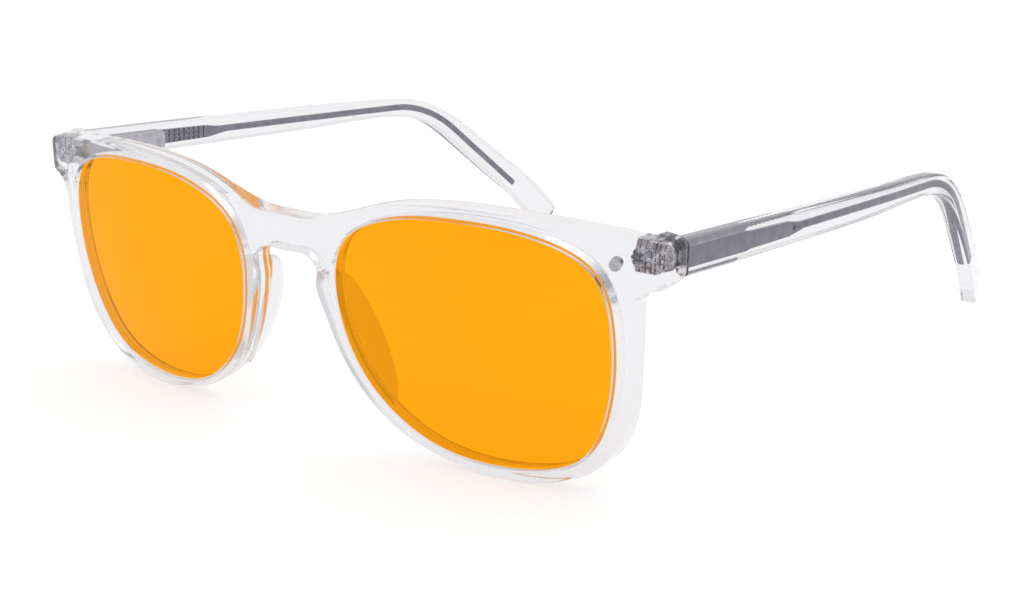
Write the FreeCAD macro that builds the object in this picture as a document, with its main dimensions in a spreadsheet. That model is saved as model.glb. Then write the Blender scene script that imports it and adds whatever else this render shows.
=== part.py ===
import FreeCAD, Part
import math
import os
import re

from FreeCAD import Placement, Rotation, Vector

# Clear spectacles with amber lenses, wire-cored temples and spring hinges.
#
# Millimetres, +Z up. The glasses stand on a table with both temples open: the front faces -Y,
# the temples run towards +Y and +X is the wearer's left. The origin is the bottom centre of the
# whole. Each left piece is modelled, and its right twin is its mirror image.

DIMENSIONS = {
    # lenses and the gap between them
    "lens_width": 48.9,
    "lens_height": 40.0,
    "bridge_gap": 19.7,
    "lens_thickness": 1.8,
    "lens_setback": 1.0,
    "groove_depth": 0.6,
    # front: a plate bent to the lens curve outside a flat bridge
    "front_thickness": 4.0,
    "front_radius": 139.0,
    "flat_half": 17.5,
    "lower_rim": 1.9,
    "lean": 8.2,
    # end piece and the joint with the temple
    "joint_depth": 5.86,
    "joint_height": 38.62,
    "joint_gap": 0.1,
    "outer_half": 67.2,
    "block_length": 4.6,
    "shaft_drop": 2.4,
    "shaft_height": 5.5,
    "shaft_thickness": 3.6,
    # hinge
    "axis_offset": 62.2,
    "axis_back": 0.5,
    "eye_radius": 1.35,
    "eye_height": 1.6,
    "ear_gap": 0.05,
    "ear_height": 1.0,
    "ear_length": 3.5,
    "anchor_thickness": 0.8,
    "tooth_gap": 0.25,
    "tooth_depth": 0.3,
    "screw_radius": 0.6,
    "ear_fit": 0.02,
    "eye_fit": 0.05,
    "head_radius": 1.1,
    "head_height": 0.43,
    "head_lift": 0.02,
    "slot_width": 0.3,
    "slot_depth": 0.2,
    # spring housing on the temple
    "housing_width": 2.75,
    "housing_height": 3.2,
    "housing_length": 16.05,
    "mouth_width": 2.1,
    "mouth_height": 1.8,
    "mouth_length": 4.85,
    "bush_length": 1.2,
    "bore_radius": 0.85,
    "bore_length": 10.2,
    # slider, spring and stop
    "guide_fit": 0.1,
    "guide_length": 3.4,
    "rod_radius": 0.35,
    "rod_fit": 0.08,
    "rod_length": 10.0,
    "wire_radius": 0.13,
    "coil_radius": 0.6,
    "coil_pitch": 0.9,
    "coil_height": 7.2,
    "stop_radius": 0.75,
    "stop_length": 1.0,
    # temple core
    "plate_thickness": 1.0,
    "core_radius": 0.65,
    "knurl_width": 0.5,
    "knurl_depth": 0.25,
    "knurl_pitch": 1.3,
    # trim dot
    "dot_radius": 0.93,
    "dot_depth": 1.6,
    # where the origin lies behind the rims' lowest points
    "origin_back": 67.15,
}
SIZE = dict(DIMENSIONS)

doc = FreeCAD.newDocument("Glasses")
sheet = doc.addObject("Spreadsheet::Sheet", "Dimensions")
for row, (alias, value) in enumerate(DIMENSIONS.items(), start=1):
    sheet.set("A%d" % row, alias)
    sheet.set("B%d" % row, str(value))
    sheet.setAlias("B%d" % row, alias)
doc.recompute()

NODES = []
ABOUT_X = Vector(1, 0, 0)


def rule(text):
    """Turn a formula of aliases into an expression that reads them from the sheet."""
    return re.sub(r"[a-z]\w*", lambda match: "Dimensions." + match.group(), text)


def add(kind, name, place=None, **sizes):
    """Add an object, bind its sizes to the sheet and put it in its place."""
    item = doc.addObject(kind, name)
    for size, text in sizes.items():
        item.setExpression(size, rule(text))
    if place is not None:
        item.Placement = place
    return item


def box(name, frame, corner, length, width, height):
    place = frame * Placement(Vector(*corner), Rotation())
    return add("Part::Box", name, place, Length=length, Width=width, Height=height)


def rod(name, frame, centre, radius, height, turn=Rotation()):
    place = frame * Placement(Vector(*centre), turn)
    return add("Part::Cylinder", name, place, Radius=radius, Height=height)


def fuse(name, *parts):
    item = doc.addObject("Part::MultiFuse", name)
    item.Shapes = list(parts)
    item.Refine = True
    return item


def cut(name, base, tool):
    item = doc.addObject("Part::Cut", name)
    item.Base = base
    item.Tool = tool
    return item


def common(name, first, second):
    item = doc.addObject("Part::MultiCommon", name)
    item.Shapes = [first, second]
    return item


def mirror(name, source):
    item = doc.addObject("Part::Mirroring", name)
    item.Source = source
    item.Normal = ABOUT_X
    return item


def node(left, name):
    """Name the left piece and make its right twin."""
    left.Label = name + "_left"
    NODES.append(left)
    NODES.append(mirror(name + "_right", left))


def spline(points, start=None, end=None):
    curve = Part.BSplineCurve()
    through = [Vector(u, v, 0) for u, v in points]
    if start:
        curve.interpolate(Points=through, InitialTangent=Vector(*start, 0), FinalTangent=Vector(*end, 0))
    else:
        curve.interpolate(Points=through)
    return curve


def ring(points):
    """A closed smooth curve."""
    curve = Part.BSplineCurve()
    curve.interpolate(Points=[Vector(u, v, 0) for u, v in points], PeriodicFlag=True)
    return curve


def line(first, second):
    return Part.LineSegment(Vector(*first, 0), Vector(*second, 0))


def polygon(points):
    return [line(points[i - 1], points[i]) for i in range(len(points))]


def sketch(name, frame, curves):
    flat = doc.addObject("Sketcher::SketchObject", name)
    flat.addGeometry(curves, False)
    flat.Placement = frame
    return flat


def extrude(name, flat, forward, backward="0"):
    solid = doc.addObject("Part::Extrusion", name)
    solid.Base = flat
    solid.DirMode = "Normal"
    solid.Solid = True
    solid.setExpression("LengthFwd", rule(forward))
    solid.setExpression("LengthRev", rule(backward))
    return solid


# ---------------------------------------------------------------- frames of reference

def face_depth(x, z):
    """How far the front face lies behind the flat bridge, at x and z of the front's own frame."""
    side = max(abs(x) - SIZE["flat_half"], 0)
    rise = z - LENS_HEIGHT
    return SIZE["front_radius"] - math.sqrt(SIZE["front_radius"] ** 2 - side ** 2 - rise ** 2)


LENS_SIDE = (SIZE["bridge_gap"] + SIZE["lens_width"]) / 2
LENS_HEIGHT = SIZE["lower_rim"] + SIZE["lens_height"] / 2
LOWEST_SIDE = 41.0
STAND = Placement(Vector(0, -SIZE["origin_back"], 0), Rotation())

# The front's own frame: its lower edge is at z = 0 and its bridge at y = 0. It leans forward
# about the rims' lowest points, which rest on the table.
LEANING = Placement(Vector(0, 0, 0), Rotation(ABOUT_X, SIZE["lean"]))
FRONT = STAND * LEANING * Placement(Vector(0, -face_depth(LOWEST_SIDE, 0), 0), Rotation())

# The temple's own frame: its origin is on the joint plane, y runs along the shaft and z along
# the hinge screw.
JOINT = Vector(0, SIZE["joint_depth"], SIZE["joint_height"])
SIDE = STAND * Placement(JOINT, Rotation(ABOUT_X, -SIZE["shaft_drop"]))

ELEVATION = Placement(Vector(0, 0, 0), Rotation(ABOUT_X, 90))
PROFILE = Placement(Vector(0, 0, 0), Rotation(Vector(1, 1, 1), 120))
BACKWARD = Rotation(ABOUT_X, -90)


# ---------------------------------------------------------------- front

BROW = [(0, 38.35), (6.5, 38.6), (12, 40.0), (20, 42.5), (29, 43.85), (38, 44.05), (48, 43.4),
        (58, 42.2), (66.3, 40.7)]
RIM = [(61.95, 31.2), (61.75, 27), (61.15, 20), (60.3, 13.5), (58.2, 8.1), (54.2, 3.7), (48, 0.9),
       (LOWEST_SIDE, 0), (34, 0.35), (26, 2.3), (18.6, 6.1), (13.2, 11.7), (9.9, 17.5), (7.8, 23.3),
       (6.4, 27.6)]
NOSE_ARCH = [(6.4, 27.6), (6.8, 30.3), (5.2, 32.15), (0, 32.5)]
LENS_SHAPE = [(0.03, 1.0), (0.55, 0.93), (0.90, 0.70), (1.0, 0.24), (0.955, -0.31), (0.74, -0.81),
              (0.22, -1.0), (-0.35, -0.90), (-0.78, -0.50), (-0.985, 0.12), (-0.935, 0.63),
              (-0.55, 0.925)]


def end_corner():
    """The end piece's outline from the brow round to the rim."""
    edge = SIZE["outer_half"]
    return [
        spline([BROW[-1], (edge - 0.25, 40.35), (edge, 39.5)]),
        line((edge, 39.5), (edge, 36)),
        spline([(edge, 36), (edge - 0.6, 34.5), (edge - 2.2, 34.0)]),
        spline([(edge - 2.2, 34.0), (63.2, 33.3), RIM[0]]),
    ]


def half_outline():
    curves = [spline(BROW, (1, 0), (1, -0.18))]
    curves += end_corner()
    curves.append(spline(RIM))
    curves.append(spline(NOSE_ARCH, (-0.15, 1), (-1, 0)))
    curves.append(line(NOSE_ARCH[-1], BROW[0]))
    return curves


def lens_outline(grown=0):
    half_width = SIZE["lens_width"] / 2 + grown
    half_height = SIZE["lens_height"] / 2 + grown
    return [ring([(LENS_SIDE + u * half_width, LENS_HEIGHT + v * half_height) for u, v in LENS_SHAPE])]


def curved_plate(name, centres, spread, near, thickness):
    """A plate bent about the front's curve: a ring profile turned about a crosswise axis.

    centres are the places, along x, of the two balls that end the plate's flat stretch, spread
    the angles that it covers beyond them, and near the depth of its face behind the front face.
    """
    outer = SIZE["front_radius"] - near
    inner = outer - thickness
    angles = [math.radians(90 + spread[0]), math.radians(90 - spread[1])]

    def point(radius, end):
        return (centres[end] + radius * math.cos(angles[end]), radius * math.sin(angles[end]))

    def arc(radius, end):
        circle = Part.Circle(Vector(centres[end], 0, 0), Vector(0, 0, 1), radius)
        return Part.ArcOfCircle(circle, *sorted([math.pi / 2, angles[end]]))

    curves = [arc(outer, 0), arc(inner, 0), arc(outer, 1), arc(inner, 1)]
    curves += [line(point(outer, end), point(inner, end)) for end in (0, 1)]
    if centres[0] != centres[1]:
        curves += [line((centres[0], radius), (centres[1], radius)) for radius in (outer, inner)]
    axis = Placement(Vector(0, SIZE["front_radius"], LENS_HEIGHT), Rotation(ABOUT_X, 180))
    flat = sketch(name + "_profile", FRONT * axis, curves)
    solid = doc.addObject("Part::Revolution", name)
    solid.Source = flat
    solid.Axis = ABOUT_X
    solid.Base = (FRONT * axis).Base
    solid.Angle = 24
    solid.Symmetric = True
    solid.Solid = True
    return solid


def make_plate(name, extra=0):
    """The front's plate, made thicker by extra in front of its face."""
    flat = SIZE["flat_half"]
    return curved_plate(name, (-flat, flat), (24, 24), -extra, SIZE["front_thickness"] + extra)


def make_lens_plate(name):
    ball = SIZE["flat_half"]
    return curved_plate(name, (ball, ball), (7, 22), SIZE["lens_setback"], SIZE["lens_thickness"])


def make_lens(name):
    edge = sketch(name + "_edge", FRONT * ELEVATION, lens_outline(SIZE["groove_depth"]))
    prism = extrude(name + "_prism", edge, "0", "4 * front_thickness")
    return common(name, prism, make_lens_plate(name + "_ball"))


# Where the trim dot sits on the face, and the way it points into the end piece.
DOT_SIDE = 59.6
DOT_HEIGHT = 37.9


def make_dot(name):
    turn = math.asin((DOT_SIDE - SIZE["flat_half"]) / SIZE["front_radius"])
    inward = Vector(-math.sin(turn), math.cos(turn), 0)
    centre = Vector(DOT_SIDE, face_depth(DOT_SIDE, DOT_HEIGHT), DOT_HEIGHT) - inward
    place = FRONT * Placement(centre, Rotation(Vector(0, 0, 1), inward))
    pin = add("Part::Cylinder", name + "_pin", place, Radius="dot_radius", Height="dot_depth + 1")
    return common(name, pin, make_plate(name + "_plate"))


def make_front(anchor, lens, dot):
    plate = make_plate("front_plate")
    outer = sketch("front_outline", FRONT * ELEVATION, half_outline())
    body = common("front_half_plate", extrude("front_prism", outer, "0", "5 * front_thickness"), plate)
    inner_side = SIZE["outer_half"] - SIZE["shaft_thickness"] + 0.05
    corner = (inner_side, -SIZE["block_length"] - SIZE["joint_gap"], -SIZE["shaft_height"] / 2)
    block = box("end_block", SIDE, corner, "shaft_thickness - 0.1", "block_length", "shaft_height")
    edge = sketch("opening_edge", FRONT * ELEVATION, lens_outline())
    opening = extrude("lens_opening", edge, "0", "4 * front_thickness")
    hollow = fuse("front_hollows", opening, lens, anchor, dot)
    half = cut("front_half", fuse("front_solid_half", body, block), hollow)
    return fuse("frame_front", half, mirror("front_other_half", half))


# ---------------------------------------------------------------- nose pad

PAD_TOP = 27.6
PAD_TOP_SIDE = 7.6
PAD_SLOPE = 0.26
PAD_FLARE = 0.010
PAD_MIDDLE = 18.5
PAD_REACH = 11.0
PAD_BACK = 3.9
PAD_HALF_LENGTH = 5.4
PAD_EDGE = 0.55
PAD_CROWN = 0.75
PAD_TILT = 6
PAD_STEPS = (-0.97, -0.8, -0.45, 0, 0.45, 0.8, 0.97)


def make_pad(name, plate):
    """A leaf-shaped wing behind the nose side of the rim, lofted through level ellipses."""
    turn = Rotation(Vector(0, 0, 1), 90 - PAD_TILT)
    sections = []
    for step in PAD_STEPS:
        z = PAD_MIDDLE + PAD_REACH * step
        swell = math.sqrt(1 - step ** 2)
        fall = PAD_TOP - z
        side = PAD_TOP_SIDE + PAD_SLOPE * fall + PAD_FLARE * fall ** 2
        ellipse = Part.Ellipse(Vector(0, 0, 0), PAD_HALF_LENGTH * swell, PAD_EDGE + PAD_CROWN * swell)
        wire = Part.Wire(ellipse.toShape())
        wire.Placement = FRONT * Placement(Vector(side, PAD_BACK, z), turn)
        sections.append(wire)
    wing = doc.addObject("Part::Feature", name + "_wing")
    wing.Shape = Part.makeLoft(sections, True)
    return cut(name, wing, plate)


# ---------------------------------------------------------------- hinge

AXIS_X = SIZE["axis_offset"]
AXIS_Y = SIZE["axis_back"]
EYE_HALF = SIZE["eye_height"] / 2
EAR_FOOT = EYE_HALF + SIZE["ear_gap"]
BORE_X = AXIS_X + 1.05


ANCHOR_OUTLINE = [(-2.3, 0), (-1.5, 1.95), (3.9, 1.95), (4.2, 0.6), (3.8, -1.2), (1.8, -2.1), (-1.5, -2.0)]
ANCHOR_FACE = -3.6
TEETH_ACROSS = (-1.75, -0.9, 0.1, 1.0, 1.7, 2.4, 3.1)
TEETH_UP = (-1.3, -0.45, 0.35, 1.1)


def make_front_hinge(name):
    """A toothed anchor plate inside the end piece and two ears with a screw hole."""
    radius = SIZE["eye_radius"]
    parts = []
    for side, foot in (("upper", EAR_FOOT), ("lower", -EAR_FOOT - SIZE["ear_height"])):
        corner = (AXIS_X - radius, AXIS_Y - SIZE["ear_length"], foot)
        parts.append(box(side + "_arm", SIDE, corner, "2 * eye_radius", "ear_length", "ear_height"))
        parts.append(rod(side + "_ear", SIDE, (AXIS_X, AXIS_Y, foot), "eye_radius", "ear_height"))
    place = SIDE * Placement(Vector(AXIS_X, ANCHOR_FACE, 0), Rotation()) * ELEVATION
    shield = sketch("anchor_outline", place, polygon(ANCHOR_OUTLINE))
    parts.append(extrude("anchor_plate", shield, "0", "anchor_thickness"))
    solid = fuse(name + "_solid", *parts)
    gaps = [rod("ear_hole", SIDE, (AXIS_X, AXIS_Y, -3), "screw_radius + ear_fit", "6")]
    for i, x in enumerate(TEETH_ACROSS):
        corner = (AXIS_X + x, ANCHOR_FACE - 1, -3)
        gaps.append(box("tooth_gap_%d" % i, SIDE, corner, "tooth_gap", "tooth_depth + 1", "6"))
    for i, z in enumerate(TEETH_UP):
        corner = (AXIS_X - 3, ANCHOR_FACE - 1, z)
        gaps.append(box("tooth_row_%d" % i, SIDE, corner, "8", "tooth_depth + 1", "tooth_gap"))
    return cut(name, solid, fuse("anchor_gaps", *gaps))


def make_screw(name):
    top = EAR_FOOT + SIZE["ear_height"] + SIZE["head_lift"]
    shank = rod("screw_shank", SIDE, (AXIS_X, AXIS_Y, -top), "screw_radius", "2 * %g" % top)
    head = rod("screw_head", SIDE, (AXIS_X, AXIS_Y, top), "head_radius", "head_height")
    corner = (AXIS_X - 2, AXIS_Y - SIZE["slot_width"] / 2, top + SIZE["head_height"] - SIZE["slot_depth"])
    slot = box("screw_slot", SIDE, corner, "4", "slot_width", "slot_depth + 1")
    return cut(name, fuse("screw_solid", shank, head), slot)


HOUSING_START = AXIS_Y + SIZE["eye_radius"] + 0.1
HOUSING_X = AXIS_X - 0.3
BUSH_START = HOUSING_START + SIZE["mouth_length"] - SIZE["bush_length"]
BORE_START = HOUSING_START + SIZE["mouth_length"]


def centred_box(name, start, width, length, height):
    """A box along the bore's axis, from start."""
    corner = (BORE_X - SIZE[width] / 2, start, -SIZE[height] / 2)
    return box(name, SIDE, corner, width, length, height)


def make_housing(name):
    corner = (HOUSING_X, HOUSING_START, -SIZE["housing_height"] / 2)
    block = box("housing_block", SIDE, corner, "housing_width", "housing_length", "housing_height")
    rounded = doc.addObject("Part::Fillet", "housing_rounded")
    rounded.Base = block
    doc.recompute()
    edges = [i + 1 for i, edge in enumerate(block.Shape.Edges) if inner_long_edge(edge)]
    rounded.Edges = [(i, 0.5, 0.5) for i in edges]
    mouth = centred_box("housing_mouth", HOUSING_START, "mouth_width", "mouth_length", "mouth_height")
    bore = rod("housing_bore", SIDE, (BORE_X, BORE_START, 0), "bore_radius", "bore_length", BACKWARD)
    return cut(name, rounded, fuse("housing_hollow", mouth, bore))


def inner_long_edge(edge):
    local = SIDE.inverse().multVec(edge.CenterOfMass)
    return edge.Length > 10 and local.x < HOUSING_X + 0.1


def make_bush(name):
    block = centred_box("bush_block", BUSH_START, "mouth_width", "bush_length", "mouth_height")
    hole = rod("bush_hole", SIDE, (BORE_X, BUSH_START - 1, 0), "rod_radius + rod_fit", "bush_length + 2",
               BACKWARD)
    return cut(name, block, hole)


GUIDE_START = HOUSING_START - 0.25
ROD_START = GUIDE_START + SIZE["guide_length"]


def make_slider(name):
    """The hinge eye, a guide block in the housing's mouth and the pull rod behind it."""
    eye = rod("eye_barrel", SIDE, (AXIS_X, AXIS_Y, -EYE_HALF), "eye_radius", "eye_height")
    corner = (BORE_X - SIZE["mouth_width"] / 2 + SIZE["guide_fit"], GUIDE_START, -EYE_HALF)
    guide = box("guide_block", SIDE, corner, "mouth_width - 2 * guide_fit", "guide_length", "eye_height")
    corner = (BORE_X - SIZE["mouth_width"] / 2 + SIZE["guide_fit"], AXIS_Y, -EYE_HALF)
    neck = box("eye_neck", SIDE, corner, "mouth_width / 2", "eye_radius + 0.05", "eye_height")
    pull = rod("pull_rod", SIDE, (BORE_X, ROD_START - 0.5, 0), "rod_radius", "rod_length + 0.5", BACKWARD)
    hole = rod("eye_hole", SIDE, (AXIS_X, AXIS_Y, -3), "screw_radius + eye_fit", "6")
    return cut(name, fuse("slider_solid", eye, neck, guide, pull), hole)


STOP_START = ROD_START + SIZE["rod_length"] - SIZE["stop_length"]


def make_stop(name):
    collar = rod("stop_collar", SIDE, (BORE_X, STOP_START, 0), "stop_radius", "stop_length", BACKWARD)
    hole = rod("stop_hole", SIDE, (BORE_X, STOP_START - 1, 0), "rod_radius", "stop_length + 2", BACKWARD)
    return cut(name, collar, hole)


def make_spring(name):
    start = STOP_START - SIZE["wire_radius"] - SIZE["coil_height"]
    place = SIDE * Placement(Vector(BORE_X, start, 0), BACKWARD)
    helix = add("Part::Helix", "spring_path", place, Radius="coil_radius", Pitch="coil_pitch",
                Height="coil_height")
    turn = place * Placement(Vector(SIZE["coil_radius"], 0, 0), Rotation(ABOUT_X, 90))
    section = add("Part::Circle", "spring_wire", turn, Radius="wire_radius")
    doc.recompute()
    coil = doc.addObject("Part::Sweep", name)
    coil.Sections = [section]
    coil.Spine = (helix, ["Edge%d" % (i + 1) for i in range(len(helix.Shape.Edges))])
    coil.Solid = True
    coil.Frenet = True
    return coil


# ---------------------------------------------------------------- temple

TOP_EDGE = [(0.1, 2.8), (14, 2.85), (35, 2.75), (65, 2.55), (85, 2.2), (95, 1.2), (106, -3.5),
            (116.7, -10.8), (129.3, -19.8), (137.6, -27.4)]
LOWER_EDGE = [(0.1, -2.65), (14, -2.65), (35, -2.5), (65, -2.1), (80, -1.65), (89, -2.0), (96, -3.6),
              (103.1, -7.5), (113.4, -15.1), (125.7, -24.6), (133.7, -32.6)]
TIP_END = [(137.6, -27.4), (138.3, -29.0), (136.8, -31.9), (135.2, -33.0), (133.7, -32.6)]
OUTER_FACE = [(67.2, -1), (67.2, 20), (67.0, 45), (66.3, 70), (64.9, 90), (64.0, 100), (62.4, 110),
              (60.1, 121), (56.2, 138)]
PLAN_THICKNESS = (3.6, 3.5, 3.4, 3.3, 3.2, 3.2, 3.3, 3.4, 3.4)
BEND = Vector(63.2, 97.9, 0.2)
CORE_START = Vector(65.4, 33, 0.1)
CORE_END = Vector(57.3, 124.0, -20.2)
BEND_RADIUS = 30.0
PLATE_X = HOUSING_X + SIZE["housing_width"]
KNURL_START = 19.6
KNURLS = 9
KNURL_ROWS = (-0.43, 0.43)


def make_core(name):
    """A flat plate with a waffled stretch, and the round wire that follows the temple's bend."""
    half = [(0.9, 1.55), (18.2, 1.55), (19.2, 1.35), (31.5, 1.15), (37, 0.4)]
    outline = half + [(y, -z) for y, z in reversed(half)]
    flat = sketch("core_outline", SIDE * Placement(Vector(PLATE_X, 0, 0), Rotation()) * PROFILE,
                  polygon(outline))
    plate = extrude("core_plate", flat, "plate_thickness")
    floor = PLATE_X - 1 + SIZE["knurl_depth"]
    grooves = []
    for i in range(KNURLS):
        corner = (floor, KNURL_START + i * SIZE["knurl_pitch"], -2)
        grooves.append(box("knurl_%d" % i, SIDE, corner, "1", "knurl_width", "4"))
    for i, z in enumerate(KNURL_ROWS):
        corner = (floor, KNURL_START, z - SIZE["knurl_width"] / 4)
        grooves.append(box("knurl_row_%d" % i, SIDE, corner, "1", "%d * knurl_pitch" % (KNURLS - 1),
                           "knurl_width / 2"))
    wire = doc.addObject("Part::Feature", "core_wire")
    wire.Shape = bent_wire()
    wire.Placement = SIDE
    return fuse(name, cut("core_knurled", plate, fuse("knurl_grooves", *grooves)), wire)


def bent_wire():
    """A round wire: straight, an arc at the bend and straight again."""
    first = (CORE_START - BEND).normalize()
    last = (CORE_END - BEND).normalize()
    half_turn = (math.pi - first.getAngle(last)) / 2
    reach = BEND_RADIUS * math.tan(half_turn)
    inward = (first + last).normalize()
    middle = BEND + inward * (BEND_RADIUS / math.cos(half_turn) - BEND_RADIUS)
    into = BEND + first * reach
    out = BEND + last * reach
    path = Part.Wire([
        Part.LineSegment(CORE_START, into).toShape(),
        Part.Arc(into, middle, out).toShape(),
        Part.LineSegment(out, CORE_END).toShape(),
    ])
    section = Part.Wire(Part.Circle(CORE_START, first, SIZE["core_radius"]).toShape())
    return path.makePipeShell([section], True, True)


def make_temple(name, core, housing):
    side_curves = [spline(TOP_EDGE), spline(TIP_END), spline(LOWER_EDGE), line(TOP_EDGE[0], LOWER_EDGE[0])]
    side_view = sketch("temple_side", SIDE * Placement(Vector(45, 0, 0), Rotation()) * PROFILE, side_curves)
    inner_face = [(x - thick, y) for (x, y), thick in zip(OUTER_FACE, PLAN_THICKNESS)]
    plan_curves = [spline(OUTER_FACE), spline(inner_face)]
    plan_curves += [line(OUTER_FACE[end], inner_face[end]) for end in (0, -1)]
    plan_view = sketch("temple_plan", SIDE * Placement(Vector(0, 0, -35), Rotation()), plan_curves)
    body = common("temple_body", extrude("temple_side_prism", side_view, "30"),
                  extrude("temple_plan_prism", plan_view, "45"))
    corner = (HOUSING_X, HOUSING_START, -SIZE["housing_height"] / 2)
    seat = box("housing_seat", SIDE, corner, "housing_width", "housing_length", "housing_height")
    corner = (HOUSING_X, -1, -SIZE["housing_height"] / 2)
    relief = box("eye_relief", SIDE, corner, "housing_width", "%g" % (HOUSING_START + 1), "housing_height")
    return cut(name, body, fuse("temple_hollow", core, seat, relief))


# ---------------------------------------------------------------- assembly

lens = make_lens("lens_left")
front_hinge = make_front_hinge("front_hinge_left")
dot = make_dot("dot_rivet_left")
front = make_front(front_hinge, lens, dot)
core = make_core("core_wire_left")
housing = make_housing("spring_housing_left")

NODES.append(front)
node(lens, "lens")
node(make_pad("nose_pad_left", make_plate("pad_cutter", 8)), "nose_pad")
node(front_hinge, "front_hinge")
node(dot, "dot_rivet")
node(make_screw("hinge_screw_left"), "hinge_screw")
node(make_slider("hinge_slider_left"), "hinge_slider")
node(make_stop("spring_stop_left"), "spring_stop")
node(make_spring("hinge_spring_left"), "hinge_spring")
node(housing, "spring_housing")
node(make_bush("spring_bush_left"), "spring_bush")
node(core, "core_wire")
node(make_temple("temple_left", core, housing), "temple")
doc.recompute()

for item in doc.Objects:
    if "Invalid" in item.State or "Error" in item.State:
        raise RuntimeError("%s failed: %s" % (item.Label, item.State))
for item in NODES:
    if item.Shape.isNull() or not item.Shape.isValid():
        raise RuntimeError("%s has no valid shape" % item.Label)

os.makedirs("parts", exist_ok=True)
for item in NODES:
    item.Shape.exportStep("parts/%s.step" % item.Label)
    bounds = item.Shape.BoundBox
    print("%-22s %d solid  %9.2f mm3  x %7.2f %7.2f  y %7.2f %7.2f  z %6.2f %6.2f" % (
        item.Label, len(item.Shape.Solids), item.Shape.Volume, bounds.XMin, bounds.XMax, bounds.YMin,
        bounds.YMax, bounds.ZMin, bounds.ZMax))
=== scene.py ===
import math

import bmesh
import bpy
import numpy as np
from mathutils import Matrix, Vector
from mathutils.geometry import delaunay_2d_cdt


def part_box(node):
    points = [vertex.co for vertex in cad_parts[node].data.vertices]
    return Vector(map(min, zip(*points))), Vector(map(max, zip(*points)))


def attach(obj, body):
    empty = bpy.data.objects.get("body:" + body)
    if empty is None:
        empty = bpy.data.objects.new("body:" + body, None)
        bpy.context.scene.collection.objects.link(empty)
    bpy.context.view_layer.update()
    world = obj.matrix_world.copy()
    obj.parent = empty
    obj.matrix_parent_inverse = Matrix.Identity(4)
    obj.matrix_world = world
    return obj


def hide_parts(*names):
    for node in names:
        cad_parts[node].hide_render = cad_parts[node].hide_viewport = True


# The looks of a pair of clear spectacles with amber lenses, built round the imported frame.
# Shapes are worked out in millimetres, in the front's own frame or the temple's own frame, and
# are turned into the row frame's metres when their meshes are made.

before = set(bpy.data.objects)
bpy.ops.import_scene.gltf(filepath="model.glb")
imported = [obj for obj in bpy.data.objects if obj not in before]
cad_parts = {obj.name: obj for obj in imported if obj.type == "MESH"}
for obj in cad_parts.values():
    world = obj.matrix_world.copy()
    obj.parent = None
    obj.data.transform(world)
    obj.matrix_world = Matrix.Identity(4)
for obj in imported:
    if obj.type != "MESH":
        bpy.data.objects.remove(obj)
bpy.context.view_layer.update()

MM = 0.001
SIDES = (("left", 1), ("right", -1))

# ---------------------------------------------------------------- the CAD's frames of reference

# LEAN is the front's tilt and DROP the temples' fall; JOINT is the depth and height of the
# temples' front ends; LOWEST_SIDE is how far out the rims are lowest; HAIR is too small to see.
RADIUS = 139.0
FLAT_HALF = 17.5
THICKNESS = 4.0
LENS_SIDE = 34.3
LENS_HEIGHT = 21.9
LENS_HALF = (24.45, 20.0)
LEAN = math.radians(8.2)
DROP = math.radians(2.4)
JOINT = (5.86, 38.62)
OUTER_SIDE = 67.2
ORIGIN_BACK = 67.15
LOWEST_SIDE = 41.0
HAIR = 0.01


def ball_depth(x, z, radius):
    """How far a ball of that radius about the front's centre lies behind the flat bridge."""
    side = np.maximum(np.abs(x) - FLAT_HALF, 0)
    return RADIUS - np.sqrt(radius ** 2 - side ** 2 - (z - LENS_HEIGHT) ** 2)


LOWEST_DEPTH = float(ball_depth(LOWEST_SIDE, 0.0, RADIUS))
STAND = Matrix.Translation((0, -ORIGIN_BACK, 0))
FRONT = STAND @ Matrix.Rotation(LEAN, 4, "X") @ Matrix.Translation((0, -LOWEST_DEPTH, 0))
SIDE = STAND @ Matrix.Translation((0, *JOINT)) @ Matrix.Rotation(-DROP, 4, "X")


# ---------------------------------------------------------------- curves

def through(points, first=None, last=None, closed=False, gap=0.45):
    """Points about gap apart on a smooth curve through the given ones.

    first and last are the directions at its ends, where they matter.
    """
    knots = np.array(points, float)
    if closed:
        knots = np.vstack([knots, knots[:1]])
    steps = np.linalg.norm(np.diff(knots, axis=0), axis=1)
    along = np.concatenate([[0], np.cumsum(steps)])
    count = len(knots)
    left = np.zeros((count, count))
    right = np.zeros((count, knots.shape[1]))
    slope = np.diff(knots, axis=0) / steps[:, None]
    for i in range(1, count - 1):
        left[i, i - 1: i + 2] = steps[i - 1], 2 * (steps[i - 1] + steps[i]), steps[i]
        right[i] = 6 * (slope[i] - slope[i - 1])
    left[0, 0] = left[-1, -1] = 1
    if closed:
        left[0, [0, -1]] = 1, -1
        left[-1, [0, 1, -2, -1]] = 2 * steps[0], steps[0], steps[-1], 2 * steps[-1]
        right[-1] = 6 * (slope[0] - slope[-1])
    if first is not None:
        left[0, :2] = 2 * steps[0], steps[0]
        right[0] = 6 * (slope[0] - np.array(first) / np.linalg.norm(first))
    if last is not None:
        left[-1, -2:] = steps[-1], 2 * steps[-1]
        right[-1] = 6 * (np.array(last) / np.linalg.norm(last) - slope[-1])
    bend = np.linalg.solve(left, right)
    where = np.linspace(0, along[-1], max(int(round(along[-1] / gap)), 2) + 1)
    if closed:
        where = where[:-1]
    k = np.clip(np.searchsorted(along, where, side="right") - 1, 0, count - 2)
    step = steps[k][:, None]
    a = (along[k + 1] - where)[:, None]
    b = (where - along[k])[:, None]
    return (
        (bend[k] * a ** 3 + bend[k + 1] * b ** 3) / (6 * step)
        + (knots[k] / step - bend[k] * step / 6) * a
        + (knots[k + 1] / step - bend[k + 1] * step / 6) * b
    )


def chain(*curves):
    """One closed loop from curves that start where the last one ends."""
    return np.vstack([curve[:-1] for curve in curves])


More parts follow.
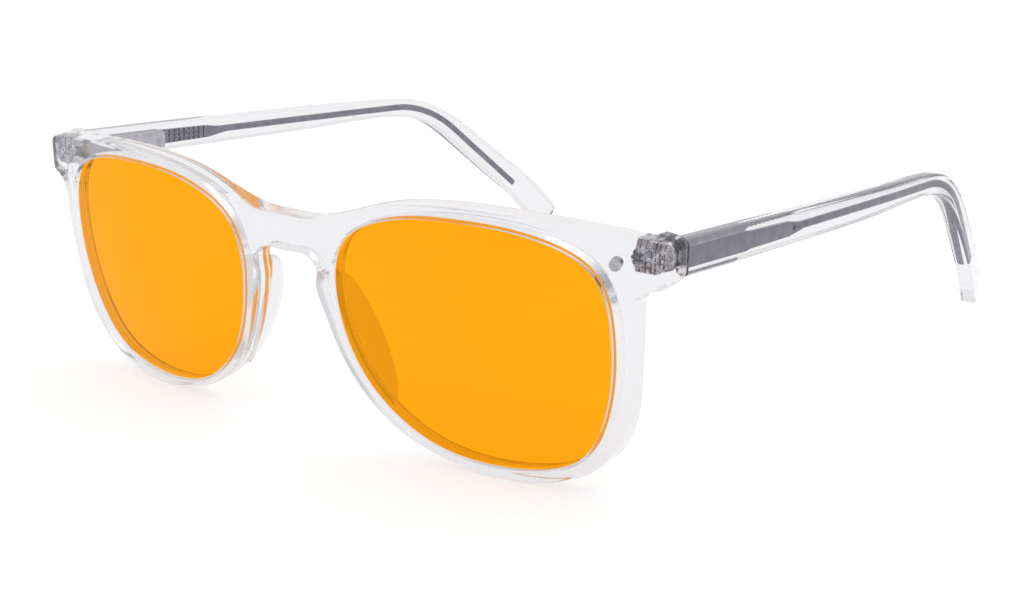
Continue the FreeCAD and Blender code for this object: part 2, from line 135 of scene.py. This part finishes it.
def inward(loop):
    """Unit normals of a closed loop that runs anticlockwise, pointing to its inside."""
    ahead = np.roll(loop, -1, axis=0) - np.roll(loop, 1, axis=0)
    ahead /= np.linalg.norm(ahead, axis=1)[:, None]
    return np.stack([-ahead[:, 1], ahead[:, 0]], axis=1)


def clockwise(loop):
    x, z = loop.T
    return np.sum(x * np.roll(z, -1) - z * np.roll(x, -1)) < 0


# ---------------------------------------------------------------- outlines of the front

BROW = [(0, 38.35), (6.5, 38.6), (12, 40.0), (20, 42.5), (29, 43.85), (38, 44.05), (48, 43.4),
        (58, 42.2), (66.3, 40.7)]
RIM = [(61.95, 31.2), (61.75, 27), (61.15, 20), (60.3, 13.5), (58.2, 8.1), (54.2, 3.7), (48, 0.9),
       (41, 0), (34, 0.35), (26, 2.3), (18.6, 6.1), (13.2, 11.7), (9.9, 17.5), (7.8, 23.3), (6.4, 27.6)]
NOSE_ARCH = [(6.4, 27.6), (6.8, 30.3), (5.2, 32.15), (0, 32.5)]
LENS_SHAPE = [(0.03, 1.0), (0.55, 0.93), (0.90, 0.70), (1.0, 0.24), (0.955, -0.31), (0.74, -0.81),
              (0.22, -1.0), (-0.35, -0.90), (-0.78, -0.50), (-0.985, 0.12), (-0.935, 0.63),
              (-0.55, 0.925)]


def front_outline():
    half = chain(
        through(BROW, (1, 0), (1, -0.18)),
        through([(66.3, 40.7), (66.95, 40.3), (OUTER_SIDE, 39.5)], (1, -0.18), (0, -1), gap=0.3),
        through([(OUTER_SIDE, 39.5), (OUTER_SIDE, 36)]),
        through([(OUTER_SIDE, 36), (66.6, 34.5), (65, 34.0)], (0, -1), (-1, -0.1), gap=0.3),
        through([(65, 34.0), (63.2, 33.3), (61.95, 31.2)], (-1, -0.1), (-0.15, -1), gap=0.3),
        through(RIM, (-0.1, -1), (-0.15, 1)),
        through(NOSE_ARCH, (-0.15, 1), (-1, 0), gap=0.3),
    )
    half = np.vstack([half, [NOSE_ARCH[-1]]])
    other = half[1:-1][::-1] * (-1, 1)
    loop = np.vstack([half, other])
    return loop[::-1] if clockwise(loop) else loop


def lens_outline(side, grown=0.0):
    half_width, half_height = (half + grown for half in LENS_HALF)
    points = [(LENS_SIDE + u * half_width, LENS_HEIGHT + v * half_height) for u, v in LENS_SHAPE]
    loop = through(points, closed=True) * (side, 1)
    return loop[::-1] if clockwise(loop) else loop


# ---------------------------------------------------------------- meshes

SHARP_ANGLE = math.radians(40)
ROUNDING_TURNS = (25, 45, 65, 90)
GRID_MARGIN = 0.5


def make_object(name, verts, faces, place):
    """A mesh object from points in millimetres of a frame of reference."""
    mesh = bpy.data.meshes.new(name)
    scaled = Matrix.Scale(MM, 4) @ place
    mesh.from_pydata([scaled @ Vector(v) for v in verts], [], faces)
    work = bmesh.new()
    work.from_mesh(mesh)
    bmesh.ops.recalc_face_normals(work, faces=work.faces)
    work.to_mesh(mesh)
    work.free()
    item = bpy.data.objects.new(name, mesh)
    bpy.context.scene.collection.objects.link(item)
    smooth(item)
    return item


def smooth(item):
    item.data.shade_smooth()
    item.data.set_sharp_from_angle(angle=SHARP_ANGLE)


def drop(distance, radius):
    """How far a rounded edge has sunk below the face at a distance from the wall."""
    near = np.clip(radius - distance, 0, radius)
    return radius - np.sqrt(radius ** 2 - near ** 2)


def grid(loops, spacing, margin):
    """Points of a triangular grid inside the first loop, outside the others, clear of them all."""
    edge = np.vstack(loops)
    low, high = edge.min(axis=0), edge.max(axis=0)
    rows = np.arange(low[1], high[1], spacing * math.sqrt(0.75))
    points = np.array([
        (x + (i % 2) * spacing / 2, z)
        for i, z in enumerate(rows)
        for x in np.arange(low[0], high[0], spacing)
    ])
    near = np.min(np.linalg.norm(points[:, None] - edge[None], axis=2), axis=1)
    return points[(near > margin) & inside(points, loops)]


def apart(points, loop):
    """How far each point lies from the nearest stretch of a closed loop."""
    near = np.full(len(points), 1e9)
    ends = np.roll(loop, -1, axis=0)
    for start, end in zip(loop, ends):
        step = end - start
        share = np.clip((points - start) @ step / max(step @ step, 1e-12), 0, 1)
        near = np.minimum(near, np.linalg.norm(points - start - share[:, None] * step, axis=1))
    return near


def inside(points, loops):
    odd = np.zeros(len(points), bool)
    for loop in loops:
        for (x0, z0), (x1, z1) in zip(loop, np.roll(loop, -1, axis=0)):
            if z0 == z1:
                continue
            crosses = (z0 > points[:, 1]) != (z1 > points[:, 1])
            at = x0 + (points[:, 1] - z0) * (x1 - x0) / (z1 - z0)
            odd ^= crosses & (points[:, 0] < at)
    return odd


def plate(name, outline, holes, front, back, rounding, walls, extra=(), spacing=1.5):
    """A curved plate with rounded edges.

    front and back give the depth of its faces at x and z; rounding is the radius of the front's
    and the back's edges at the outline and at the holes; walls gives, for a hole, the steps of
    its wall as (growth, depth) rows between the faces; extra are loops to keep in the faces.
    """
    points, edges, starts = [], [], []

    def add_loop(loop):
        start = len(points)
        points.extend(map(tuple, loop))
        edges.extend((start + i, start + (i + 1) % len(loop)) for i in range(len(loop)))
        return start, len(loop)

    boundary = [(outline, rounding[0])] + [(hole, rounding[1]) for hole in holes]
    for loop, _ in boundary:
        starts.append(add_loop(loop))
    for loop in extra:
        add_loop(np.array(loop))
    for number, (loop, radii) in enumerate(boundary):
        normal = inward(loop) * (1 if number == 0 else -1)
        for turn in ROUNDING_TURNS:
            distance = max(radii) * (1 - math.cos(math.radians(turn)))
            ring = loop + normal * distance
            ring = ring[apart(ring, loop) > 0.97 * distance]
            points.extend(map(tuple, ring))
    loops = [loop for loop, _ in boundary]
    widest = max(max(radii) for _, radii in boundary)
    inner = grid(loops, spacing, widest + GRID_MARGIN)
    for loop in extra:
        inner = inner[apart(inner, np.array(loop)) > GRID_MARGIN]
    points.extend(map(tuple, inner))

    flat, _, tris, origin, _, _ = delaunay_2d_cdt([Vector(p) for p in points], edges, [], 0, 1e-6)
    at = np.array([tuple(v) for v in flat])
    solid = inside(at[np.array(tris)].mean(axis=1), loops)
    tris = [triangle for triangle, kept in zip(tris, solid) if kept]
    place = {source: i for i, sources in enumerate(origin) for source in sources}
    face_y = front(at[:, 0], at[:, 1])
    back_y = back(at[:, 0], at[:, 1])
    for loop, radii in boundary:
        distance = apart(at, loop)
        face_y += drop(distance, radii[0])
        back_y -= drop(distance, radii[1])
    count = len(at)
    verts = [(x, y, z) for (x, z), y in zip(at, face_y)]
    verts += [(x, y, z) for (x, z), y in zip(at, back_y)]
    faces = [tuple(t) for t in tris] + [tuple(count + i for i in reversed(t)) for t in tris]
    for number, (start, size) in enumerate(starts):
        loop = boundary[number][0]
        rings = [[place[start + i] for i in range(size)]]
        for growth, depth in (walls(loop) if number else []):
            base = len(verts)
            moved = loop + inward(loop) * -growth
            verts += [(x, y, z) for (x, z), y in zip(moved, depth)]
            rings.append(list(range(base, base + size)))
        rings.append([count + i for i in rings[0]])
        for one, two in zip(rings, rings[1:]):
            for i in range(size):
                j = (i + 1) % size
                faces.append((one[i], one[j], two[j], two[i]))
    return verts, faces


def skin(name, rings, place):
    """A closed mesh over rings of the same number of points, with flat ends."""
    size = len(rings[0])
    verts = [v for ring in rings for v in ring]
    faces = []
    for k in range(len(rings) - 1):
        for i in range(size):
            j = (i + 1) % size
            faces.append((k * size + i, k * size + j, (k + 1) * size + j, (k + 1) * size + i))
    faces.append(tuple(range(size))[::-1])
    faces.append(tuple(range((len(rings) - 1) * size, len(rings) * size)))
    return make_object(name, verts, faces, place)


def cut_away(item, tool):
    """Takes the tool's shape out of the item's mesh, then removes the tool."""
    step = item.modifiers.new("shape", "BOOLEAN")
    step.operation = "DIFFERENCE"
    step.object = tool
    step.solver = "EXACT"
    bpy.context.view_layer.update()
    made = bpy.data.meshes.new_from_object(item.evaluated_get(bpy.context.evaluated_depsgraph_get()))
    item.modifiers.remove(step)
    old = item.data
    item.data = made
    made.name = old.name
    bpy.data.meshes.remove(old)
    bpy.data.objects.remove(tool)


# ---------------------------------------------------------------- the clear front

LENS_SETBACK = 1.0
LENS_THICKNESS = 1.8
GROOVE_DEPTH = 0.45
LENS_GROWTH = 0.05
GROOVE_PLAY = 0.04
BLOCK_SIDE = 63.65
STEP_SIDES = (60.3, 60.75)
STEP_HEIGHTS = (35.4, 40.9)
STEP_DEPTH = 0.35
DOT = (59.6, 37.9)
DOT_RADIUS = 0.93
DOT_RECESS = 0.1
DOT_RINGS = (0.02, -0.08)
DOT_WALL = 0.03
JOINT_GAP = 0.1
BLOCK_STEP = 0.3
STEP_SPACING = 0.4
FRONT_ROUNDING = ((0.65, 0.4), (0.35, 0.3))


def lens_depth(x, z, behind):
    side = np.abs(x) - FLAT_HALF
    return RADIUS - np.sqrt((RADIUS - behind) ** 2 - side ** 2 - (z - LENS_HEIGHT) ** 2)


def joint_plane(z):
    """Depth of the joint's plane, in the front's own frame."""
    turn = LEAN + DROP
    offset = JOINT[0] * math.cos(DROP) - JOINT[1] * math.sin(DROP) - JOINT_GAP
    return LOWEST_DEPTH + (z * math.sin(turn) + offset) / math.cos(turn)


def front_face(x, z):
    depth = ball_depth(x, z, RADIUS)
    for side in (1, -1):
        away = np.hypot(x - side * DOT[0], z - DOT[1])
        depth = depth + np.where(away < DOT_RADIUS - DOT_WALL, DOT_RECESS, 0.0)
    return depth


def front_back(x, z):
    slab = ball_depth(x, z, RADIUS - THICKNESS)
    share = np.clip((np.abs(x) - BLOCK_SIDE + BLOCK_STEP) / BLOCK_STEP, 0, 1)
    beside = (np.abs(x) > STEP_SIDES[0] - HAIR) & (np.abs(x) < STEP_SIDES[1] + HAIR)
    level = (z > STEP_HEIGHTS[0] - HAIR) & (z < STEP_HEIGHTS[1] + HAIR)
    return slab + (joint_plane(z) - slab) * share - STEP_DEPTH * (beside & level)


def groove(loop):
    """The wall of a lens opening, with the groove that holds the lens."""
    x, z = loop.T
    near = lens_depth(x, z, LENS_SETBACK) - GROOVE_PLAY
    far = lens_depth(x, z, LENS_SETBACK + LENS_THICKNESS) + GROOVE_PLAY
    return [(0.0, near), (GROOVE_DEPTH, near), (GROOVE_DEPTH, far), (0.0, far)]


def circle(centre, radius, count=28):
    turn = np.linspace(0, 2 * math.pi, count, endpoint=False)
    return np.stack([centre[0] + radius * np.cos(turn), centre[1] + radius * np.sin(turn)], axis=1)


def pocket_step(side):
    """The narrow upright groove in the back face where the hinge pocket starts."""
    rise = np.arange(STEP_HEIGHTS[0], STEP_HEIGHTS[1], STEP_SPACING)
    inner = [(side * STEP_SIDES[0], z) for z in rise]
    outer = [(side * STEP_SIDES[1], z) for z in rise[::-1]]
    return np.array(inner + outer)


def make_front():
    rings = []
    for side in (1, -1):
        centre = (side * DOT[0], DOT[1])
        rings += [circle(centre, DOT_RADIUS + grown) for grown in DOT_RINGS]
        rings.append(pocket_step(side))
    holes = [lens_outline(side) for side in (1, -1)]
    verts, faces = plate("front", front_outline(), holes, front_face, front_back,
                         FRONT_ROUNDING, groove, rings)
    return make_object("clear_front", verts, faces, FRONT)


# ---------------------------------------------------------------- the nose pads

PAD_MIDDLE = 18.5
PAD_REACH = 11.0
PAD_TILT = math.radians(6)
PAD_TOP = 27.6
PAD_TOP_SIDE = 7.6
PAD_SLOPE = 0.26
PAD_FLARE = 0.010
PAD_BACK = 3.9
PAD_HALF_LENGTH = 5.4
PAD_EDGE = 0.55
PAD_CROWN = 0.75
PAD_END_TURN = math.radians(86)
SLAB_HALF = 30.0
SLAB_LEVELS = (-2.0, 44.0)
SLAB_FRONT = -9.0


def make_pad(name, side):
    """A leaf-shaped wing: level ellipses, one above the other."""
    rings = []
    for step in np.sin(np.linspace(-1, 1, 41) * PAD_END_TURN):
        z = PAD_MIDDLE + PAD_REACH * step
        swell = math.sqrt(1 - step ** 2)
        fall = PAD_TOP - z
        middle = PAD_TOP_SIDE + PAD_SLOPE * fall + PAD_FLARE * fall ** 2
        ring = []
        for turn in np.linspace(0, 2 * math.pi, 48, endpoint=False):
            long = PAD_HALF_LENGTH * swell * math.cos(turn)
            short = (PAD_EDGE * min(1, 3 * swell) + PAD_CROWN * swell) * math.sin(turn)
            x = middle + long * math.sin(PAD_TILT) + short * math.cos(PAD_TILT)
            y = PAD_BACK + long * math.cos(PAD_TILT) - short * math.sin(PAD_TILT)
            ring.append((side * x, y, z))
        rings.append(ring)
    return skin(name, rings, FRONT)


def slab_behind():
    """A block that fills the front plate and all before it, to trim the pads against its back."""
    low, high = SLAB_LEVELS
    outline = np.array([(-SLAB_HALF, low), (SLAB_HALF, low), (SLAB_HALF, high), (-SLAB_HALF, high)])
    verts, faces = plate("slab", outline, [], lambda x, z: np.full_like(x, SLAB_FRONT),
                         lambda x, z: ball_depth(x, z, RADIUS - THICKNESS) + HAIR,
                         ((HAIR, HAIR),), None)
    return make_object("slab", verts, faces, FRONT)


# ---------------------------------------------------------------- the temples

TOP_EDGE = [(0.1, 2.8), (14, 2.85), (35, 2.75), (65, 2.55), (85, 2.2), (95, 1.2), (106, -3.5),
            (116.7, -10.8), (129.3, -19.8), (137.6, -27.4)]
LOWER_EDGE = [(0.1, -2.65), (14, -2.65), (35, -2.5), (65, -2.1), (80, -1.65), (89, -2.0), (96, -3.6),
              (103.1, -7.5), (113.4, -15.1), (125.7, -24.6), (133.7, -32.6)]
OUTER_FACE = [(67.2, -1), (67.2, 20), (67.0, 45), (66.3, 70), (64.9, 90), (64.0, 100), (62.4, 110),
              (60.1, 121), (56.2, 138)]
PLAN_THICKNESS = (3.6, 3.5, 3.4, 3.3, 3.2, 3.2, 3.3, 3.4, 3.4)
TEMPLE_EDGE = 0.75
TIP_CORNER = 2.2
TIP_THINNING = 1.0
TIP_SHARE = 0.985
FIRST_SHARE = 0.004
SECTIONS = 150
JOINT_EDGE = 0.15
CURVE_GAP = 0.05
RELIEF_PAST = 2
RELIEF_ALONG = (-1, 1.95)
RELIEF_LEVELS = (-1.6, 1.6)


def rounded_ring(width, height, radius):
    """Points round a rectangle with rounded corners, as shares of its half width and half height."""
    radius = min(radius, width / 2 - 0.01, height / 2 - 0.01)
    ring = []
    corners = ((1, 1, 0), (-1, 1, 90), (-1, -1, 180), (1, -1, 270))
    for sx, sy, turn in corners:
        for step in range(0, 91, 15):
            angle = math.radians(turn + step)
            x = sx * (width / 2 - radius) + radius * math.cos(angle)
            y = sy * (height / 2 - radius) + radius * math.sin(angle)
            ring.append((2 * x / width, 2 * y / height))
    return ring


def make_temple(name, side):
    """Rounded cross-sections from the joint to the tip, drawn in at both ends."""
    top = through(TOP_EDGE, gap=CURVE_GAP)
    low = through(LOWER_EDGE, gap=CURVE_GAP)
    plan = through([(y, x, thick) for (x, y), thick in zip(OUTER_FACE, PLAN_THICKNESS)], gap=0.5)
    rings = []
    ends = [(0.0, JOINT_EDGE, turn) for turn in (90, 60, 30)]
    ends += [(share, 0, 0) for share in np.linspace(FIRST_SHARE, TIP_SHARE, SECTIONS)]
    ends += [(TIP_SHARE, TIP_CORNER, turn) for turn in (15, 30, 45, 60, 75, 88)]
    for share, corner, turn in ends:
        upper = top[int(share * (len(top) - 1))]
        lower = low[int(share * (len(low) - 1))]
        middle = (upper + lower) / 2
        half = (upper - lower) / 2
        across = np.array([half[1], -half[0]]) / np.linalg.norm(half)
        height = 2 * np.linalg.norm(half)
        cut = corner * (1 - math.cos(math.radians(turn)))
        thin = min(corner, TIP_THINNING) * (1 - math.cos(math.radians(turn)))
        if share > 0.5:
            middle = middle + across * corner * math.sin(math.radians(turn))
        elif corner:
            middle = middle + across * corner * (1 - math.sin(math.radians(turn)))
        ring = []
        thickness = float(np.interp(middle[0], plan[:, 0], plan[:, 2]))
        for u, v in rounded_ring(thickness - 2 * thin, height - 2 * cut, TEMPLE_EDGE):
            y, z = middle + half * (height - 2 * cut) / height * v
            outer = float(np.interp(y, plan[:, 0], plan[:, 1]))
            x = min(outer - thickness / 2 + u * (thickness - 2 * thin) / 2, OUTER_SIDE)
            ring.append((side * x, y, z))
        rings.append(ring)
    return skin(name, rings, SIDE)


def relief(side):
    """The notch in the temple's inner face that the hinge eye works in."""
    low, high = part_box("spring_housing_" + ("left" if side > 0 else "right"))
    inner, outer = sorted((abs(low[0]), abs(high[0])))
    verts = []
    for x in (inner / MM - RELIEF_PAST, outer / MM):
        for y in RELIEF_ALONG:
            for z in RELIEF_LEVELS:
                verts.append((side * x, y, z))
    faces = [(0, 1, 3, 2), (4, 6, 7, 5), (0, 4, 5, 1), (2, 3, 7, 6), (0, 2, 6, 4), (1, 5, 7, 3)]
    return make_object("relief", verts, faces, SIDE)


# ---------------------------------------------------------------- the lenses

LENS_ROUNDING = ((0.15, 0.15),)
LENS_SPACING = 2.0


def make_lens(name, side):
    rim = lens_outline(side, LENS_GROWTH)
    verts, faces = plate(name, rim, [], lambda x, z: lens_depth(x, z, LENS_SETBACK),
                         lambda x, z: lens_depth(x, z, LENS_SETBACK + LENS_THICKNESS),
                         LENS_ROUNDING, None, spacing=LENS_SPACING)
    return make_object(name, verts, faces, FRONT)


# ---------------------------------------------------------------- materials

PLASTIC_COLOUR = (0.80, 0.80, 0.82)
PLASTIC_IOR = 1.25
AMBER_COLOUR = (1.0, 0.381, 0.006)
AMBER_IOR = 1.08


def material(name, colour, **values):
    made = bpy.data.materials.new(name)
    made.use_nodes = True
    shader = made.node_tree.nodes["Principled BSDF"]
    shader.inputs["Base Color"].default_value = (*colour, 1)
    for socket, value in values.items():
        shader.inputs[socket.replace("_", " ")].default_value = value
    return made, made.node_tree, shader


def grain(tree, shader, scale, depth, rough, stretch=(1, 1, 1)):
    """Fine marks in the surface: noise that drives a little bump and the roughness."""
    where = tree.nodes.new("ShaderNodeTexCoord")
    mapping = tree.nodes.new("ShaderNodeMapping")
    mapping.inputs["Scale"].default_value = stretch
    noise = tree.nodes.new("ShaderNodeTexNoise")
    noise.inputs["Scale"].default_value = scale
    noise.inputs["Detail"].default_value = 4
    bump = tree.nodes.new("ShaderNodeBump")
    bump.inputs["Strength"].default_value = 0.3
    bump.inputs["Distance"].default_value = depth
    spread = tree.nodes.new("ShaderNodeMapRange")
    spread.inputs["To Min"].default_value = rough[0]
    spread.inputs["To Max"].default_value = rough[1]
    tree.links.new(where.outputs["Object"], mapping.inputs["Vector"])
    tree.links.new(mapping.outputs["Vector"], noise.inputs["Vector"])
    tree.links.new(noise.outputs["Fac"], bump.inputs["Height"])
    tree.links.new(noise.outputs["Fac"], spread.inputs["Value"])
    tree.links.new(bump.outputs["Normal"], shader.inputs["Normal"])
    tree.links.new(spread.outputs["Result"], shader.inputs["Roughness"])


def clear_plastic(name, rough):
    made, tree, shader = material(name, PLASTIC_COLOUR, IOR=PLASTIC_IOR, Transmission_Weight=1.0)
    grain(tree, shader, 900, 0.000004, rough)
    return made


def amber_plastic():
    made, tree, shader = material("amber_lens", AMBER_COLOUR, IOR=AMBER_IOR,
                                  Transmission_Weight=1.0)
    grain(tree, shader, 700, 0.000001, (0.0, 0.01))
    return made


def mottle(tree, shader, dark, light, scale):
    """Patchy colour between two tones."""
    where = tree.nodes.new("ShaderNodeTexCoord")
    noise = tree.nodes.new("ShaderNodeTexNoise")
    noise.inputs["Scale"].default_value = scale
    noise.inputs["Detail"].default_value = 3
    ramp = tree.nodes.new("ShaderNodeValToRGB")
    ramp.color_ramp.elements[0].position = 0.38
    ramp.color_ramp.elements[0].color = (*dark, 1)
    ramp.color_ramp.elements[1].position = 0.62
    ramp.color_ramp.elements[1].color = (*light, 1)
    tree.links.new(where.outputs["Object"], noise.inputs["Vector"])
    tree.links.new(noise.outputs["Fac"], ramp.inputs["Fac"])
    tree.links.new(ramp.outputs["Color"], shader.inputs["Base Color"])


def metal(name, dark, light, scale, rough, stretch=(1, 1, 1)):
    made, tree, shader = material(name, light, Metallic=1.0)
    grain(tree, shader, 4000, 0.00001, rough, stretch)
    mottle(tree, shader, dark, light, scale)
    return made


# ---------------------------------------------------------------- the pieces

def finish_piece(item, body, surface, slot, *nodes):
    item.data.materials.clear()
    item.data.materials.append(surface)
    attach(item, body)
    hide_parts(*nodes)


clear = clear_plastic("clear_acetate", (0.0, 0.03))
moulded = clear_plastic("moulded_front", (0.10, 0.16))
amber = amber_plastic()
nickel = metal("nickel_silver", (0.38, 0.37, 0.40), (0.46, 0.45, 0.49), 900, (0.25, 0.4))
anchor = metal("anchor_metal", (0.30, 0.29, 0.32), (0.75, 0.74, 0.79), 1400, (0.2, 0.45))
# the core plate's base colour is set dark grey-violet as a painted dark reflection: it stands in for
# the dark surroundings the bright metal reflects, not the metal's own tone
wire = metal("core_metal_painted_dark_reflection", (0.25, 0.24, 0.28), (0.31, 0.30, 0.345), 500, (0.3, 0.45), (1, 0.05, 1))
steel = metal("screw_steel", (0.42, 0.42, 0.44), (0.5, 0.5, 0.52), 900, (0.15, 0.3))

front = make_front()
finish_piece(front, "front", moulded, "clear_plastic", "frame_front")
for name, side in SIDES:
    pad = make_pad("clear_pad_" + name, side)
    cut_away(pad, slab_behind())
    smooth(pad)
    finish_piece(pad, "front", moulded, "clear_plastic", "nose_pad_" + name)

for name, side in SIDES:
    temple = make_temple("clear_temple_" + name, side)
    cut_away(temple, relief(side))
    smooth(temple)
    finish_piece(temple, "temple_" + name, clear, "clear_plastic", "temple_" + name)
    lens = make_lens("amber_lens_" + name, side)
    finish_piece(lens, "front", amber, "amber_lens", "lens_" + name)

METALS = {
    "front_hinge": anchor, "dot_rivet": nickel, "hinge_slider": nickel, "spring_stop": nickel,
    "spring_housing": nickel, "spring_bush": nickel, "core_wire": wire, "hinge_screw": steel,
    "hinge_spring": steel,
}
for kind, surface in METALS.items():
    for name, _ in SIDES:
        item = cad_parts[kind + "_" + name]
        item.data.materials.clear()
        item.data.materials.append(surface)


# ---------------------------------------------------------------- floor, light and camera

FLOOR_HALF = 3.0
TOWARDS_CAMERA = (0.45, -0.85, 0.25)
CAMERA_LENS = 63.49
CAMERA_LEAN = math.radians(1.1)
CAMERA_PLACE = (197.82, -207.94, 106.45)
CAMERA_RIGHT = (0.79725, 0.60365, 0.00093)
CAMERA_UP = (-0.17076, 0.22403, 0.95951)
CAMERA_BACK = (0.57900, -0.76512, 0.28169)


def make_floor():
    size = FLOOR_HALF
    mesh = bpy.data.meshes.new("floor")
    mesh.from_pydata([(-size, -size, 0), (size, -size, 0), (size, size, 0), (-size, size, 0)], [],
                     [(0, 1, 2, 3)])
    floor = bpy.data.objects.new("floor", mesh)
    bpy.context.scene.collection.objects.link(floor)
    pale = bpy.data.materials.new("pale_floor")
    pale.use_nodes = True
    shader = pale.node_tree.nodes["Principled BSDF"]
    shader.inputs["Base Color"].default_value = (0.5, 0.5, 0.5, 1)
    shader.inputs["Roughness"].default_value = 0.9
    shader.inputs["Specular IOR Level"].default_value = 0
    shader.inputs["Emission Color"].default_value = (1, 1, 1, 1)
    shader.inputs["Emission Strength"].default_value = 0.6
    mesh.materials.append(pale)


def make_world():
    """White all round, turning grey on the camera's side."""
    world = bpy.data.worlds.new("studio")
    bpy.context.scene.world = world
    world.use_nodes = True
    tree = world.node_tree
    where = tree.nodes.new("ShaderNodeTexCoord")
    facing = tree.nodes.new("ShaderNodeVectorMath")
    facing.operation = "DOT_PRODUCT"
    facing.inputs[1].default_value = TOWARDS_CAMERA
    ramp = tree.nodes.new("ShaderNodeValToRGB")
    ramp.color_ramp.elements[0].position = 0.35
    ramp.color_ramp.elements[0].color = (1, 1, 1, 1)
    ramp.color_ramp.elements[1].position = 0.8
    ramp.color_ramp.elements[1].color = (0.5, 0.5, 0.53, 1)
    tree.links.new(where.outputs["Generated"], facing.inputs[0])
    tree.links.new(facing.outputs["Value"], ramp.inputs["Fac"])
    tree.links.new(ramp.outputs["Color"], tree.nodes["Background"].inputs["Color"])
    tree.nodes["Background"].inputs["Strength"].default_value = 1.0


def make_camera():
    """The camera stands to the wearer's left, in front and above."""
    data = bpy.data.cameras.new("camera")
    data.lens = CAMERA_LENS
    data.sensor_width = 36
    data.clip_start = 0.01
    camera = bpy.data.objects.new("camera", data)
    bpy.context.scene.collection.objects.link(camera)
    tip = Matrix.Rotation(CAMERA_LEAN, 4, "X")
    turn = Matrix((CAMERA_RIGHT, CAMERA_UP, CAMERA_BACK)).transposed().to_4x4()
    camera.matrix_world = (
        Matrix.Translation((0, -ORIGIN_BACK * MM, 0)) @ tip
        @ Matrix.Translation(Vector(CAMERA_PLACE) * MM) @ turn
    )
    bpy.context.scene.camera = camera


def make_light(name, place, size, power):
    data = bpy.data.lights.new(name, "AREA")
    data.size = size
    data.energy = power
    light = bpy.data.objects.new(name, data)
    bpy.context.scene.collection.objects.link(light)
    light.location = place
    light.rotation_euler = (-Vector(place)).to_track_quat("-Z", "Y").to_euler()


make_floor()
make_world()
make_camera()
make_light("overhead", (0.2, -0.1, 1.6), 2.5, 6)
bpy.context.scene.view_settings.view_transform = "Standard"
bpy.context.scene.cycles.max_bounces = 32
bpy.context.scene.cycles.glossy_bounces = 24
bpy.context.scene.cycles.transmission_bounces = 32
